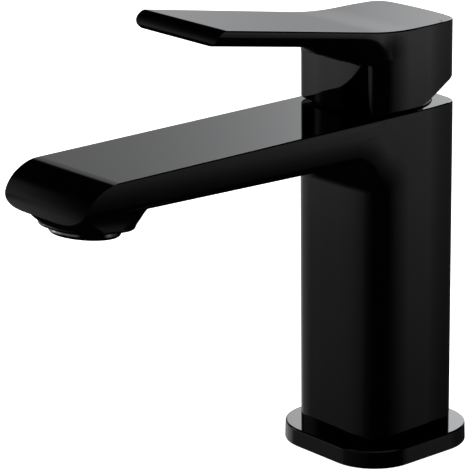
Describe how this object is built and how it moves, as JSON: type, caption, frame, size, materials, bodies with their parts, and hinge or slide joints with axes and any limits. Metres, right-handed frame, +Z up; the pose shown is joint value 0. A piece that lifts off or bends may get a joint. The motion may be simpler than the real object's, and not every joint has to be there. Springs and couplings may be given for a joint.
{
  "type": "bathroom mixer faucet",
  "caption": "Deck-mounted basin mixer faucet in gloss black: square column, long flat spout with a tilted outlet, paddle lever that lifts for flow and swings for temperature, deck fixing kit.",
  "frame": {"origin": "centre of the base plate's underside, on the deck plane", "axes": "+Z up along the column, -Y along the spout towards the user, +X towards the cold side"},
  "size_m": [0.0584, 0.1831, 0.2293],
  "materials": {
    "gloss_black": "mirror-gloss black",
    "satin_black": "satin black",
    "black_chrome": "bright black chrome",
    "black_plastic": "gloss black",
    "dark_plastic": "moulded dark grey",
    "white_plastic": "moulded white",
    "grey_plastic": "moulded grey",
    "ceramic": "lapped white ceramic, opaque",
    "seal_rubber": "moulded black",
    "brass": "machined",
    "steel": "plain stainless"
  },
  "bodies": {
    "body": {"spout_body": "gloss_black", "base_plate": "gloss_black", "base_gasket": "seal_rubber", "cartridge_housing": "white_plastic", "cartridge_base": "white_plastic", "port_seals": "seal_rubber", "disc_seals": "seal_rubber", "fixed_disc": "ceramic", "temperature_stop": "dark_plastic", "cartridge_nut": "brass", "cover_ring": "satin_black", "aerator_ring": "black_chrome", "aerator_insert": "grey_plastic", "aerator_screen": "steel", "aerator_washer": "seal_rubber", "fixing_stud": "steel", "horseshoe_gasket": "seal_rubber", "horseshoe_washer": "steel", "fixing_nut": "brass"},
    "guide": {"lever_guide": "dark_plastic", "lever_pin": "steel"},
    "driver": {"disc_driver": "dark_plastic", "moving_disc": "ceramic"},
    "handle": {"handle": "gloss_black", "lever_stem": "steel", "handle_screw": "steel", "index_cap": "black_plastic"}
  },
  "joints": [
    {"name": "temperature_swing", "type": "hinge", "parent": "body", "child": "guide", "pos_m": [0, 0, 0.138], "axis": [0, 0, 1], "range_deg": [-45, 45]},
    {"name": "flow_lift", "type": "hinge", "parent": "guide", "child": "handle", "pos_m": [0, 0, 0.138], "axis": [-1, 0, 0], "range_deg": [0, 24]},
    {"name": "disc_slide", "type": "slide", "parent": "guide", "child": "driver", "axis": [0, -1, 0], "range_m": [0, 0.0067]}
  ],
  "couplings": [
    {"joint": "disc_slide", "follows": "flow_lift", "m_per_rad": 0.01588}
  ]
}
